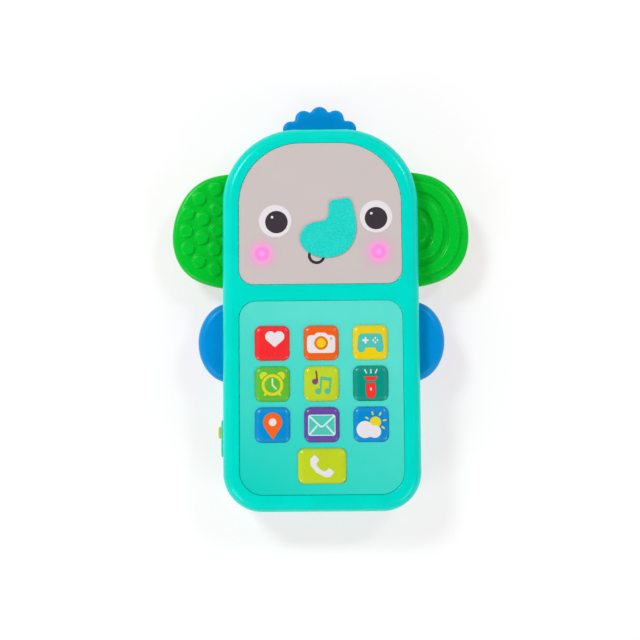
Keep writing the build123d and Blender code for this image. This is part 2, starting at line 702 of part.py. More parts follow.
def battery_door():
    seat = (DOOR_HALF_WIDTH, DOOR_LOW, DOOR_HIGH, DOOR_CORNER_RADIUS, DOOR_CORNER_RADIUS)
    door = slab(shrunk(seat, FIT_GAP), 0, DOOR_THICKNESS)
    door += rod(0, DOOR_SCREW_Y, DOOR_NECK_RADIUS, 0, DOOR_NECK_HEIGHT)
    for side in LEFT_AND_RIGHT:
        low, high = side * DOOR_TAB_X - DOOR_TAB_HALF_WIDTH, side * DOOR_TAB_X + DOOR_TAB_HALF_WIDTH
        door += block(low, high, DOOR_LOW - 1.6, DOOR_LOW + 1, 0.9, DOOR_THICKNESS)
    door -= rod(0, DOOR_SCREW_Y, CASE_WELL_RADIUS, 0, DOOR_SCREW_SEAT)
    door -= rod(0, DOOR_SCREW_Y, SCREW_HOLE_RADIUS, 0, 4)
    # finger grooves
    for step in range(5):
        y = DOOR_LOW + 4 + 1.6 * step
        door -= block(-8, 8, y, y + 0.8, 0, 0.4)
    return door


# ---- slide switch -------------------------------------------------------------------------------------


def switch_knob():
    """The grip outside, the neck through the slot and the strip that hides the slot from inside."""
    face = -CASE_HALF_WIDTH - SWITCH_FRAME_PROUD
    half_y, half_z = KNOB_LENGTH / 2, KNOB_HEIGHT / 2
    neck_end = SLIDE_COVER_X + 0.1
    grip = block(
        face - KNOB_PROUD,
        neck_end,
        KNOB_Y - half_y,
        KNOB_Y + half_y,
        SWITCH_Z - half_z,
        SWITCH_Z + half_z,
    )
    grip = fillet(grip.faces().sort_by(Axis.X)[0].edges(), 0.7)
    reach = KNOB_LENGTH / 2 + SWITCH_TRAVEL + 0.6
    low, high = SWITCH_Z - SLIDE_COVER_HALF_HEIGHT, SWITCH_Z + SLIDE_COVER_HALF_HEIGHT
    cover_end = SLIDE_COVER_X + SLIDE_COVER
    return grip + block(SLIDE_COVER_X, cover_end, KNOB_Y - reach, KNOB_Y + reach, low, high)


def switch_actuator():
    start = SLIDE_COVER_X + SLIDE_COVER
    return block(start, start + 1.9, KNOB_Y - 1.1, KNOB_Y + 1.1, SWITCH_Z - 0.9, SWITCH_Z + 0.9)


def switch_body():
    middle = KNOB_Y - SWITCH_TRAVEL / 2
    half = SWITCH_TRAVEL / 2 + 2.4
    low, high = middle - half, middle + half
    body = block(SWITCH_FACE_X, SWITCH_BACK_X, low, high, SWITCH_SHELF_TOP, SWITCH_BODY_TOP)
    reach = SWITCH_TRAVEL / 2 + 1.3
    mouth = SWITCH_FACE_X + 1.6
    return body - block(SWITCH_FACE_X, mouth, middle - reach, middle + reach, SWITCH_Z - 1.1, SWITCH_Z + 1.1)


# ---- ears, arms and tuft ------------------------------------------------------------------------------


def case_keepout():
    return slab(case_face(-FIT_GAP), 0, CASE_TOP)


def side_root(middle, length):
    """The tongue through the side wall, with a bead inside that keeps it from pulling out."""
    low, high = middle - length / 2, middle + length / 2
    inner = CASE_HALF_WIDTH - WALL - 0.2
    tongue = block(inner - 0.5, CASE_HALF_WIDTH + 1.5, low, high, ROOT_LOW, ROOT_HIGH)
    return tongue + block(inner - 1.8, inner, low, high, BEAD_LOW, BEAD_HIGH)


def ear_face(across=1.0, along=1.0):
    """The ear's outline, or a copy of it drawn in towards the ridge centre."""
    middle_x, middle_y = EAR_RIDGE_CENTRE
    points = [(middle_x + (x - middle_x) * across, middle_y + (y - middle_y) * along) for x, y in EAR_OUTLINE]
    return make_face(Curve() + [Spline(*points), Line(points[-1], points[0])])


def ear_flap():
    flap = slab(ear_face(), EAR_LOW, EAR_HIGH)
    return fillet(flap.edges().filter_by(GeomType.BSPLINE), EAR_EDGE_RADIUS)


def left_ear():
    ear = ear_flap()
    for x, y in EAR_BUMPS:
        bump = rod(x, y, EAR_BUMP_RADIUS, EAR_HIGH - 1, EAR_BUMP_TOP)
        ear += fillet(bump.edges().group_by(Axis.Z)[-1], EAR_BUMP_EDGE_RADIUS)
    ear = ear - case_keepout() + side_root(EAR_ROOT_Y, EAR_ROOT_LENGTH)
    return mirror(ear, Plane.YZ)


def right_ear():
    ear = ear_flap()
    for outer, inner in EAR_RIDGES:
        ridge = slab(ear_face(*outer), EAR_HIGH - 1, EAR_RIDGE_TOP)
        if inner is not None:
            ridge -= slab(ear_face(*inner), EAR_HIGH - 1, EAR_RIDGE_TOP)
        curves = ridge.edges().filter_by(GeomType.BSPLINE)
        ear += fillet(curves.group_by(Axis.Z)[-1], EAR_RIDGE_EDGE_RADIUS)
    return ear - case_keepout() + side_root(EAR_ROOT_Y, EAR_ROOT_LENGTH)


def right_arm():
    pad = slab(Pos(ARM_X, ARM_Y) * Ellipse(ARM_HALF_WIDTH, ARM_HALF_LENGTH), ARM_LOW, ARM_HIGH)
    pad = fillet(pad.edges(), ARM_EDGE_RADIUS)
    return pad - case_keepout() + side_root(ARM_Y, ARM_ROOT_LENGTH)


def hair_tuft():
    """Five lobes in a row over a flat root, with a bead inside the casing."""
    centres = [(side * x, CASE_HEAD + y, radius) for x, y, radius in TUFT_LOBES for side in LEFT_AND_RIGHT]
    outline = sorted({(x, y) for x, y, _ in centres})
    outline += [(side * TUFT_LOBES[-1][0], CASE_HEAD - 6) for side in (1, -1)]
    face = make_face(Polyline(*outline, close=True))
    for x, y, radius in centres[1:]:
        face += Pos(x, y) * Circle(radius)
    notches = [vertex for vertex in face.vertices() if vertex.Y > CASE_HEAD + 3]
    face = fillet(notches, TUFT_NOTCH_RADIUS)
    tuft = slab(face, TUFT_LOW, TUFT_HIGH)
    rims = [edge for level in (0, -1) for edge in tuft.edges().group_by(Axis.Z)[level]]
    tuft = fillet(rims, TUFT_EDGE_RADIUS) - case_keepout()
    half = TUFT_ROOT_LENGTH / 2
    inner = CASE_HEAD - WALL - 0.2
    tuft += block(-half, half, inner - 0.5, CASE_HEAD + 1.5, ROOT_LOW, ROOT_HIGH)
    return tuft + block(-half, half, inner - 1.8, inner, BEAD_LOW, BEAD_HIGH)


# ---- leads --------------------------------------------------------------------------------------------


def battery_leads():
    """Red from the upper cell's button end and black from the lower cell's spring end, to the board."""
    upper, lower = cell_rows()
    tab_x = BAY_HALF_WIDTH + BAY_WALL + 0.9
    red = [
        (tab_x, upper, TAB_Z),
        (tab_x, upper, 7.5),
        (tab_x, -14, 7.5),
        (25, -5, 8.5),
        (25, -5, BOARD_BOTTOM),
    ]
    black = [
        (tab_x, lower, TAB_Z),
        (tab_x, lower, 5.5),
        (tab_x, -16, 5.5),
        (16, -3, 6.5),
        (16, -3, BOARD_BOTTOM),
    ]
    return lead(red, [1.6, 3.0, 3.0]), lead(black, [2.4, 4.0, 3.5])


def speaker_leads():
    start_z = SPEAKER_BASKET_TOP + 0.7
    leads = []
    for side in LEFT_AND_RIGHT:
        x = side * 2.2
        points = [(x, SPEAKER_Y - 9, start_z), (x, 20, start_z), (x, 8, 6), (x, -3, 9), (x, -3, BOARD_BOTTOM)]
        leads.append(lead(points, [5.0, 4.5, 3.0]))
    return leads


def led_leads():
    low = LED_BOARD_TOP - BOARD_THICKNESS
    leads = []
    for x in (-12.0, -9.0):
        points = [(x, 22, low), (x, 22, 8.5), (x, -3, 8.5), (x, -3, BOARD_BOTTOM)]
        leads.append(lead(points, [2.4, 3.0]))
    return leads


def switch_leads():
    leads = []
    for y in (-44.0, -49.0):
        turn = SWITCH_BACK_X + 1.4
        points = [(SWITCH_BACK_X, y, SWITCH_Z), (turn, y, SWITCH_Z), (turn, y, BOARD_BOTTOM)]
        leads.append(lead(points, [1.2]))
    return leads


def main():
    os.makedirs("parts", exist_ok=True)
    upper, lower = cell_rows()
    half = CONTACT_SIZE / 2
    red, black = battery_leads()
    save("front_shell", front_shell())
    save("rear_shell", rear_shell())
    save("face_panel", panel(FACE_WINDOW, LEDGE_TOP))
    save("trunk_patch", trunk_patch())
    save("keypad_panel", keypad_panel())
    for name, *shape in key_faces():
        save(name, key(*shape))
    save("dome_mat", dome_mat())
    save("main_board", main_board())
    save("chip_blob", chip_blob())
    save("capacitors", *capacitors())
    save("resistors", *resistors())
    save("board_screws", *board_screws())
    save("case_screws", *case_screws())
    save("led_board", led_board())
    save("cheek_led_left", led(CHEEK_LEFT))
    save("cheek_led_right", led(CHEEK_RIGHT))
    save("light_cup_left", light_cup(CHEEK_LEFT))
    save("light_cup_right", light_cup(CHEEK_RIGHT))
    save("speaker_frame", speaker_frame())
    save("speaker_cone", speaker_cone())
    save("speaker_magnet", speaker_magnet())
    save("battery_upper", cell(upper, 1))
    save("battery_lower", cell(lower, -1))
    save("contact_positive", contact_plate(upper - half, upper + half, 1) + contact_tab(upper))
    negative = contact_plate(lower - half, lower + half, 1) + contact_tab(lower)
    save("contact_negative", negative, contact_spring(lower, 1))
    save("contact_bridge", contact_plate(lower - half, upper + half, -1), contact_spring(upper, -1))
    save("battery_door", battery_door())
    head = (SCREW_HEAD_RADIUS, SCREW_HEAD_HEIGHT, SCREW_SHANK_RADIUS)
    save("battery_door_screw", screw(0, DOOR_SCREW_Y, DOOR_SCREW_SEAT, DOOR_SCREW_END, *head))
    save("switch_knob", switch_knob())
    save("switch_actuator", switch_actuator())
    save("switch_body", switch_body())
    save("left_ear", left_ear())
    save("right_ear", right_ear())
    save("right_arm", right_arm())
    save("left_arm", mirror(right_arm(), Plane.YZ))
    save("hair_tuft", hair_tuft())
    save("battery_lead_red", red)
    save("battery_lead_black", black)
    save("speaker_leads", *speaker_leads())
    save("led_leads", *led_leads())
    save("switch_leads", *switch_leads())


main()
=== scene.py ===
import json
import math

import bpy
import numpy as np
from mathutils import Matrix, Vector


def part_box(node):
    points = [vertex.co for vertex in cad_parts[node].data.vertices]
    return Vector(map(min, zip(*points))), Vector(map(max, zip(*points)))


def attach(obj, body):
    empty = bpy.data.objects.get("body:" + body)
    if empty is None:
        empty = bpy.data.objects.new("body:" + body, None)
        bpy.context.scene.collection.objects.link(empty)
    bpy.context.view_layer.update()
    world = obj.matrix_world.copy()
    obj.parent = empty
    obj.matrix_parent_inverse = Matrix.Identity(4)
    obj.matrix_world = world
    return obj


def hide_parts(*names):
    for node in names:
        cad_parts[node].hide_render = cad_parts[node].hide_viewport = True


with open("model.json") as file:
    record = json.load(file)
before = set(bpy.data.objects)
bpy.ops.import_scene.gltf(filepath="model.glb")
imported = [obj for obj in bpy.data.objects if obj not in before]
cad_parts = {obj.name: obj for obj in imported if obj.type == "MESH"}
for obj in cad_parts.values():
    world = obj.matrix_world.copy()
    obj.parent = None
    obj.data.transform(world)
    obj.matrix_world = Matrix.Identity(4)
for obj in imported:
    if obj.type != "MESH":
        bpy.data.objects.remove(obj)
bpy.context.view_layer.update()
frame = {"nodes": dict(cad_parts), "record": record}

MM = 0.001
NODES = frame["nodes"]
# the artwork's places are measured from a point on the casing's middle line, this far above its foot
ORIGIN_ABOVE_FOOT = 74.8 * MM
ORIGIN_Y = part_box("front_shell")[0].y + ORIGIN_ABOVE_FOOT
PANEL_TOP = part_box("face_panel")[1].z


# ---- colours and materials ----------------------------------------------------------------------------


# how much more light falls on the toy than would just show a white surface as full white
BRIGHTNESS = 1.15


def srgb(red, green, blue):
    """The linear base colour that shows as these screen values, of 0 to 255, in the studio's light."""
    parts = [value / 255 for value in (red, green, blue)]
    linear = [part / 12.92 if part <= 0.04045 else ((part + 0.055) / 1.055) ** 2.4 for part in parts]
    return [part / BRIGHTNESS for part in linear]


def scaled(colour, factor):
    return [min(1.0, part * factor) for part in colour]


TURQUOISE = srgb(0, 224, 205)
EAR_GREEN = srgb(0, 200, 48)
LIMB_BLUE = srgb(0, 148, 225)
FACE_GREY = srgb(210, 199, 197)
TRUNK_TEAL = srgb(26, 216, 203)
INK_WHITE = srgb(236, 230, 234)
# the keypad overlay's teal with painted shade, at its lower left, and its pale painted sheen of reflected
# light, towards its top right
OVERLAY_DEEP = srgb(6, 212, 194)
OVERLAY_PAINTED_SHEEN = (srgb(90, 224, 210), srgb(95, 227, 212))
TRUNK_PALE = srgb(60, 224, 212)


class Graph:
    """A material's nodes, with short ways to add and join them."""

    def __init__(self, name):
        self.material = bpy.data.materials.new(name)
        self.material.use_nodes = True
        self.nodes = self.material.node_tree.nodes
        self.links = self.material.node_tree.links
        self.shader = self.nodes["Principled BSDF"]
        self.place = self.nodes.new("ShaderNodeTexCoord").outputs["Object"]

    def feed(self, socket, value):
        """Links another node's output to a socket, or sets the socket to a plain value."""
        if isinstance(value, bpy.types.NodeSocket):
            self.links.new(value, socket)
        else:
            socket.default_value = value

    def add(self, kind, **values):
        """A node with its settings, and its inputs by name with spaces as underscores."""
        node = self.nodes.new("ShaderNode" + kind)
        for key, value in values.items():
            if hasattr(node, key):
                setattr(node, key, value)
            else:
                self.feed(node.inputs[key.replace("_", " ")], value)
        return node

    def noise(self, size, detail=2.0, roughness=0.5):
        """Noise whose features are about the given size in metres."""
        node = self.add("TexNoise", Scale=1 / size, Detail=detail, Roughness=roughness, Vector=self.place)
        return node.outputs["Factor"] if "Factor" in node.outputs else node.outputs["Fac"]

    def spread(self, value, low, high, from_low=0.3, from_high=0.7):
        node = self.add("MapRange", Value=value)
        node.inputs["From Min"].default_value = from_low
        node.inputs["From Max"].default_value = from_high
        node.inputs["To Min"].default_value = low
        node.inputs["To Max"].default_value = high
        return node.outputs["Result"]

    def maths(self, operation, first, second=0.0):
        node = self.nodes.new("ShaderNodeMath")
        node.operation = operation
        for socket, value in zip(node.inputs, (first, second)):
            self.feed(socket, value)
        return node.outputs[0]

    def blend(self, factor, first, second):
        """Mixes two colours, each a list or a socket."""
        node = self.nodes.new("ShaderNodeMix")
        node.data_type = "RGBA"
        self.links.new(factor, node.inputs[0])
        for socket, value in ((node.inputs[6], first), (node.inputs[7], second)):
            self.feed(socket, [*value, 1.0] if isinstance(value, (list, tuple)) else value)
        return node.outputs[2]

    def bump(self, height, depth, normal=None):
        node = self.nodes.new("ShaderNodeBump")
        node.inputs["Distance"].default_value = depth
        self.links.new(height, node.inputs["Height"])
        if normal is not None:
            self.links.new(normal, node.inputs["Normal"])
        return node.outputs["Normal"]

    def to_shader(self, **sockets):
        """Sets or links the shader's inputs, by name with spaces as underscores."""
        for key, value in sockets.items():
            self.feed(self.shader.inputs[key.replace("_", " ")], value)


# how wide the clouds of colour, the patches of polish, the waves and the grain of moulded plastic are
CLOUD_SIZE = 9 * MM
POLISH_SIZE = 1.6 * MM
WAVE_SIZE = 6 * MM
GRAIN_SIZE = 0.35 * MM


def moulded(name, colour, rough, mottle=0.03, grain_depth=0.002 * MM, wave_depth=0.004 * MM, **sockets):
    """Moulded plastic or rubber: faint cloudy colour, an uneven polish, mould grain and slow waves."""
    graph = Graph(name)
    cloud = graph.spread(graph.noise(CLOUD_SIZE, detail=3), 0, 1)
    graph.to_shader(
        Base_Color=graph.blend(cloud, scaled(colour, 1 - mottle), scaled(colour, 1 + mottle)),
        Roughness=graph.spread(graph.noise(POLISH_SIZE, detail=4), rough * 0.85, rough * 1.2),
    )
    waves = graph.bump(graph.noise(WAVE_SIZE, detail=1), wave_depth)
    graph.to_shader(Normal=graph.bump(graph.noise(GRAIN_SIZE, detail=3), grain_depth, waves), **sockets)
    return graph.material


def metal(name, colour, rough, streak=0.3 * MM):
    """Plated or drawn metal, with fine streaks along X."""
    graph = Graph(name)
    stretch = graph.add("Mapping", Vector=graph.place)
    stretch.inputs["Scale"].default_value = (0.08, 1, 1)
    lines = graph.add("TexNoise", Scale=1 / streak, Detail=4.0, Vector=stretch.outputs[0])
    value = lines.outputs[0]
    graph.to_shader(
        Base_Color=graph.blend(graph.spread(value, 0, 1), scaled(colour, 0.86), scaled(colour, 1.08)),
        Roughness=graph.spread(value, rough * 0.8, rough * 1.3),
        Metallic=1.0,
        Normal=graph.bump(value, 0.003 * MM),
    )
    return graph.material


def board_laminate(name):
    """Green solder mask with paler copper tracks under it."""
    graph = Graph(name)
    tracks = graph.add("TexBrick", Scale=1 / (24 * MM), Vector=graph.place)
    tracks.inputs["Mortar Size"].default_value = 0.02
    graph.to_shader(
        Base_Color=graph.blend(tracks.outputs["Fac"], [0.012, 0.12, 0.035], [0.05, 0.3, 0.08]),
        Roughness=graph.spread(graph.noise(1.5 * MM), 0.28, 0.42),
        Normal=graph.bump(tracks.outputs["Fac"], 0.03 * MM),
    )
    return graph.material


def cell_jacket(name):
    """A plain dark cell jacket with one copper coloured band near its end."""
    graph = Graph(name)
    across = graph.add("SeparateXYZ", Vector=graph.place).outputs["X"]
    band = graph.spread(across, 0, 1, 9 * MM, 9.4 * MM)
    graph.to_shader(
        Base_Color=graph.blend(band, [0.05, 0.06, 0.09], [0.55, 0.27, 0.1]),
        Roughness=graph.spread(graph.noise(2 * MM), 0.25, 0.4),
        Metallic=0.6,
    )
    return graph.material


CHEEKS = [(-22.97 * MM, 26.38 * MM + ORIGIN_Y), (22.96 * MM, 26.8 * MM + ORIGIN_Y)]
# how far from a cheek's middle the light through the print has each colour, out to the plain face
CHEEK_GLOW = [
    (0.0, (255, 168, 241)),
    (1.9, (252, 138, 226)),
    (2.7, (253, 151, 225)),
    (3.5, (251, 172, 220)),
    (4.3, (233, 179, 208)),
    (5.2, (222, 188, 202)),
    (8.2, (207, 196, 195)),
]
CHEEK_REACH = CHEEK_GLOW[-1][0] * MM


def face_film(name):
    """Warm grey print under a clear skin, lit pink from behind at the two cheeks."""
    graph = Graph(name)
    parts = graph.add("SeparateXYZ", Vector=graph.place)
    flat = graph.add("CombineXYZ", X=parts.outputs["X"], Y=parts.outputs["Y"])
    distance = None
    for x, y in CHEEKS:
        node = graph.nodes.new("ShaderNodeVectorMath")
        node.operation = "DISTANCE"
        graph.links.new(flat.outputs[0], node.inputs[0])
        node.inputs[1].default_value = (x, y, 0)
        found = node.outputs["Value"]
        distance = found if distance is None else graph.maths("MINIMUM", distance, found)
    glow = graph.add("ValToRGB", Fac=graph.spread(distance, 0, 1, 0, CHEEK_REACH))
    ramp = glow.color_ramp.elements
    while len(ramp) < len(CHEEK_GLOW):
        ramp.new(0.5)
    for element, (place, colour) in zip(ramp, CHEEK_GLOW):
        element.position = place * MM / CHEEK_REACH
        element.color = (*srgb(*colour), 1)
    cloud = graph.spread(graph.noise(14 * MM, detail=3), 0, 1)
    fleck = graph.spread(graph.noise(0.5 * MM, detail=2), 0, 0.05)
    grey = graph.blend(cloud, scaled(FACE_GREY, 0.99), scaled(FACE_GREY, 1.015))
    grey = graph.blend(fleck, grey, scaled(FACE_GREY, 0.75))
    near = graph.spread(distance, 1, 0, CHEEK_REACH * 0.7, CHEEK_REACH)
    graph.to_shader(
        Base_Color=graph.blend(near, grey, glow.outputs["Color"]),
        Roughness=graph.spread(graph.noise(3 * MM, detail=4), 0.16, 0.22),
        Emission_Color=(1.0, 0.3, 0.8, 1.0),
        Emission_Strength=graph.spread(distance, 0.07, 0, 0, 4 * MM),
        Specular_IOR_Level=0.3,
        Normal=graph.bump(graph.noise(20 * MM, detail=1), 0.02 * MM),
    )
    return graph.material


def keypad_overlay(name):
    """Satin overlay with painted light: a pale painted sheen of reflected light, strongest towards its top
    right, that fades with painted shade to the casing's turquoise at its lower left corner.
    """
    graph = Graph(name)
    low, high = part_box("keypad_panel")
    parts = graph.add("SeparateXYZ", Vector=graph.place)
    across = graph.spread(parts.outputs["X"], 0, 1, low.x, high.x)
    along = graph.spread(parts.outputs["Y"], 0, 1, low.y, high.y)
    # painted sheen and shade: the pale painted sheen grows across and up the overlay, and gives way to
    # painted shade at the lower left
    slope = graph.maths("ADD", graph.maths("MULTIPLY", across, 0.4), graph.maths("MULTIPLY", along, 0.85))
    wander = graph.spread(graph.noise(25 * MM, detail=2), -0.03, 0.03)
    shift = graph.spread(graph.maths("ADD", slope, wander), 0, 1, 0.05, 1.0)
    cloud = graph.spread(graph.noise(8 * MM, detail=3), 0, 1)
    pale = graph.blend(cloud, *OVERLAY_PAINTED_SHEEN)
    graph.to_shader(
        Base_Color=graph.blend(shift, OVERLAY_DEEP, pale),
        Roughness=graph.spread(graph.noise(1.0 * MM, detail=4), 0.36, 0.46),
        Specular_IOR_Level=0.15,
        Normal=graph.bump(graph.noise(0.25 * MM, detail=3), 0.003 * MM),
    )
    return graph.material


def trunk_grain(name):
    """Bright teal with a close sparkle of darker and paler flecks."""
    graph = Graph(name)
    fleck = graph.noise(0.5 * MM, detail=2, roughness=0.7)
    cloud = graph.noise(6 * MM, detail=2)
    sparkle = graph.spread(fleck, 0, 1, 0.35, 0.65)
    shade = graph.blend(sparkle, scaled(TRUNK_TEAL, 0.8), scaled(TRUNK_TEAL, 1.18))
    graph.to_shader(
        Base_Color=graph.blend(graph.spread(cloud, 0, 0.25), shade, TRUNK_PALE),
        Roughness=graph.spread(fleck, 0.34, 0.5),
        Specular_IOR_Level=0.15,
        Normal=graph.bump(fleck, 0.012 * MM),
    )
    return graph.material


def ink(name, colour):
    """Screen-printed ink: even colour with pinhole grain and a slightly uneven gloss."""
    graph = Graph(name)
    grain = graph.noise(0.3 * MM, detail=3)
    graph.to_shader(
        Base_Color=graph.blend(graph.spread(grain, 0, 1), scaled(colour, 0.97), scaled(colour, 1.02)),
        Roughness=graph.spread(graph.noise(1.1 * MM, detail=2), 0.26, 0.36),
        Specular_IOR_Level=0.2,
        Normal=graph.bump(grain, 0.001 * MM),
    )
    return graph.material


FINISH = {
    "case_turquoise": moulded(
        "case_turquoise_moulded",
        TURQUOISE,
        0.18,
        Specular_IOR_Level=0.2,
        Specular_Tint=(0.4, 1.0, 0.97, 1.0),
    ),
    "face_film": face_film("face_film_lit"),
    "trunk_print": trunk_grain("trunk_grained"),
    "keypad_overlay": keypad_overlay("keypad_overlay_painted_sheen"),
    "ear_green": moulded(
        "ear_soft_green",
        EAR_GREEN,
        0.26,
        mottle=0.02,
        wave_depth=0.002 * MM,
        Specular_IOR_Level=0.32,
        Specular_Tint=(0.35, 1.0, 0.45, 1.0),
    ),
    "limb_blue": moulded(
        "limb_blue_moulded",
        LIMB_BLUE,
        0.3,
        Specular_IOR_Level=0.2,
        Specular_Tint=(0.3, 0.75, 1.0, 1.0),
    ),
    "knob_yellow": moulded("knob_yellow_moulded", srgb(226, 204, 52), 0.25),
    "lamp_pink": moulded("lamp_pink_tinted", [1.0, 0.4, 0.8], 0.1, Transmission_Weight=0.5),
    "cup_white": moulded("cup_white_moulded", [0.82, 0.82, 0.8], 0.5),
    "silicone_grey": moulded("silicone_grey_matte", [0.4, 0.42, 0.43], 0.6),
    "board_green": board_laminate("board_laminate"),
    "epoxy_black": moulded("epoxy_black_gloss", [0.014, 0.014, 0.016], 0.2),
    "screw_steel": metal("screw_zinc", [0.62, 0.62, 0.6], 0.3),
    "contact_steel": metal("contact_nickel", [0.68, 0.66, 0.62], 0.25),
    "speaker_steel": moulded("speaker_black_paint", [0.03, 0.03, 0.032], 0.35),
    "cone_paper": moulded("cone_pressed_paper", [0.035, 0.034, 0.033], 0.85, grain_depth=0.02 * MM),
    "magnet_grey": moulded("magnet_ferrite", [0.09, 0.09, 0.095], 0.55),
    "cell_jacket": cell_jacket("cell_jacket_plain"),
    "switch_black": moulded("switch_black_moulded", [0.02, 0.02, 0.021], 0.4),
    "lead_red": moulded("lead_red_insulation", [0.55, 0.02, 0.02], 0.4),
    "lead_black": moulded("lead_black_insulation", [0.018, 0.018, 0.02], 0.4),
}
SLOT_OF_NODE = {part["node"]: part["material_slot"] for part in frame["record"]["subparts"]}
for node, part in NODES.items():
    if SLOT_OF_NODE[node] in FINISH:
        part.data.materials.clear()
        part.data.materials.append(FINISH[SLOT_OF_NODE[node]])


# ---- meshes -------------------------------------------------------------------------------------------


def placed(name, data):
    """A new object in the scene."""
    made = bpy.data.objects.new(name, data)
    bpy.context.scene.collection.objects.link(made)
    return made


def mesh_object(name, vertices, faces, material, smooth_below=35):
    """A smooth mesh with creases where its faces turn by more than smooth_below degrees."""
    mesh = bpy.data.meshes.new(name)
    mesh.from_pydata([tuple(v) for v in vertices], [], faces)
    mesh.validate()
    mesh.update()
    made = placed(name, mesh)
    mesh.materials.append(material)
    mesh.shade_smooth()
    mesh.set_sharp_from_angle(angle=math.radians(smooth_below))
    return made


def stacked(name, rings, material, smooth_below=35):
    """A closed form from rings of points, first to last, with a flat or crowned cap at each end."""
    count = len(rings[0])
    vertices = [point for ring in rings for point in ring]
    faces = []
    for level in range(len(rings) - 1):
        base = level * count
        for step in range(count):
            after = (step + 1) % count
            faces.append((base + step, base + after, base + count + after, base + count + step))
    for ring, flip in ((0, True), (len(rings) - 1, False)):
        centre = len(vertices)
        vertices.append(np.mean(np.array(rings[ring]), axis=0))
        for step in range(count):
            pair = (ring * count + step, ring * count + (step + 1) % count)
            faces.append((*(reversed(pair) if flip else pair), centre))
    return mesh_object(name, vertices, faces, material, smooth_below)


# ---- plane shapes, as signed distances in millimetres --------------------------------------------------


def disc(x, y, centre_x, centre_y, radius):
    return np.hypot(x - centre_x, y - centre_y) - radius


def tile(x, y, centre_x, centre_y, half_x, half_y, corner):
    across = np.abs(x - centre_x) - half_x + corner
    along = np.abs(y - centre_y) - half_y + corner
    outside = np.hypot(np.maximum(across, 0), np.maximum(along, 0))
    return outside + np.minimum(np.maximum(across, along), 0) - corner


def taper(x, y, start, start_radius, end, end_radius):
    """Everything between a disc and a smaller or equal disc."""
    run = np.array(end, float) - np.array(start, float)
    square = run @ run
    side = np.abs(((x - start[0]) * run[1] - (y - start[1]) * run[0]) / square)
    ahead = ((x - start[0]) * run[0] + (y - start[1]) * run[1]) / square
    change = start_radius - end_radius
    slant = math.sqrt(square - change * change)
    lean = slant * ahead - change * side
    near = np.sqrt(square * (side**2 + ahead**2)) - start_radius
    far = np.sqrt(square * (side**2 + ahead**2 + 1 - 2 * ahead)) - end_radius
    flank = slant * side + change * ahead - start_radius
    return np.where(lean < 0, near, np.where(lean > slant, far, flank))


def bar(x, y, start, end, radius):
    return taper(x, y, start, radius, end, radius)


def polygon(x, y, points, rounding=0.0):
    """A polygon, grown by a rounding that also softens its corners."""
    nearest = np.full(x.shape, 1e9)
    inside = np.zeros(x.shape, bool)
    for (ax, ay), (bx, by) in zip(points, points[1:] + points[:1]):
        share = ((x - ax) * (bx - ax) + (y - ay) * (by - ay)) / ((bx - ax) ** 2 + (by - ay) ** 2)
        share = np.clip(share, 0, 1)
        nearest = np.minimum(nearest, np.hypot(x - ax - share * (bx - ax), y - ay - share * (by - ay)))
        if ay != by:
            crosses = ((ay > y) != (by > y)) & (x < (bx - ax) * (y - ay) / (by - ay) + ax)
            inside ^= crosses
    return np.where(inside, -nearest, nearest) - rounding


def union(*fields):
    return np.minimum.reduce(fields)


def minus(field, cutter):
    return np.maximum(field, -cutter)


# the step of the grid that follows a print's outline, and how thick each layer of ink is
PRINT_STEP = 0.16
PRINT_LIFT = 0.03
# how near a grid point may lie to the outline, and a crossing to a grid point as a share of the step
PRINT_CLEARANCE = 1e-4
PRINT_MARGIN = 0.02


def printed(name, field, reach, surface, material, body, layer=0):
    """A thin closed patch of ink: where field is below zero, on the surface z = surface(x, y).

    reach is (low x, low y, high x, high y); all of these are millimetres in the toy's frame.
    """
    low_x, low_y, high_x, high_y = reach
    columns = int(math.ceil((high_x - low_x) / PRINT_STEP)) + 1
    rows = int(math.ceil((high_y - low_y) / PRINT_STEP)) + 1
    x, y = np.meshgrid(low_x + PRINT_STEP * np.arange(columns), low_y + PRINT_STEP * np.arange(rows))
    value = field(x, y).ravel()
    value[np.abs(value) < PRINT_CLEARANCE] = PRINT_CLEARANCE
    flat_x, flat_y = x.ravel(), y.ravel()
    points, found, polygons = [], {}, []

    def corner(index):
        if index not in found:
            found[index] = len(points)
            points.append((flat_x[index], flat_y[index]))
        return found[index]

    def crossing(first, second):
        key = (min(first, second), max(first, second))
        if key not in found:
            found[key] = len(points)
            share = value[key[0]] / (value[key[0]] - value[key[1]])
            share = min(max(share, PRINT_MARGIN), 1 - PRINT_MARGIN)
            px = flat_x[key[0]] + share * (flat_x[key[1]] - flat_x[key[0]])
            py = flat_y[key[0]] + share * (flat_y[key[1]] - flat_y[key[0]])
            points.append((px, py))
        return found[key]

    grid = np.arange(columns * rows).reshape(rows, columns)
    a, b = grid[:-1, :-1].ravel(), grid[:-1, 1:].ravel()
    c, d = grid[1:, 1:].ravel(), grid[1:, :-1].ravel()
    triangles = np.concatenate([np.stack([a, b, c], 1), np.stack([a, c, d], 1)])
    for triangle in triangles[(value[triangles] < 0).any(1)]:
        outline = []
        for step in range(3):
            here, after = int(triangle[step]), int(triangle[(step + 1) % 3])
            if value[here] < 0:
                outline.append(corner(here))
            if (value[here] < 0) != (value[after] < 0):
                outline.append(crossing(here, after))
        polygons.append(outline)
    count = len(points)
    plane = np.array(points)
    ground = surface(plane[:, 0], plane[:, 1])
    top = ground + PRINT_LIFT * (layer + 1)
    bottom = ground - PRINT_LIFT
    vertices = np.concatenate([np.column_stack([plane, top]), np.column_stack([plane, bottom])]) * MM
    edges = {(outline[i - 1], outline[i]) for outline in polygons for i in range(len(outline))}
    faces = [tuple(outline) for outline in polygons]
    faces += [tuple(index + count for index in reversed(outline)) for outline in polygons]
    faces += [(b, a, a + count, b + count) for a, b in edges if (b, a) not in edges]
    made = mesh_object(name, vertices, faces, material)
    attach(made, body)
    return made


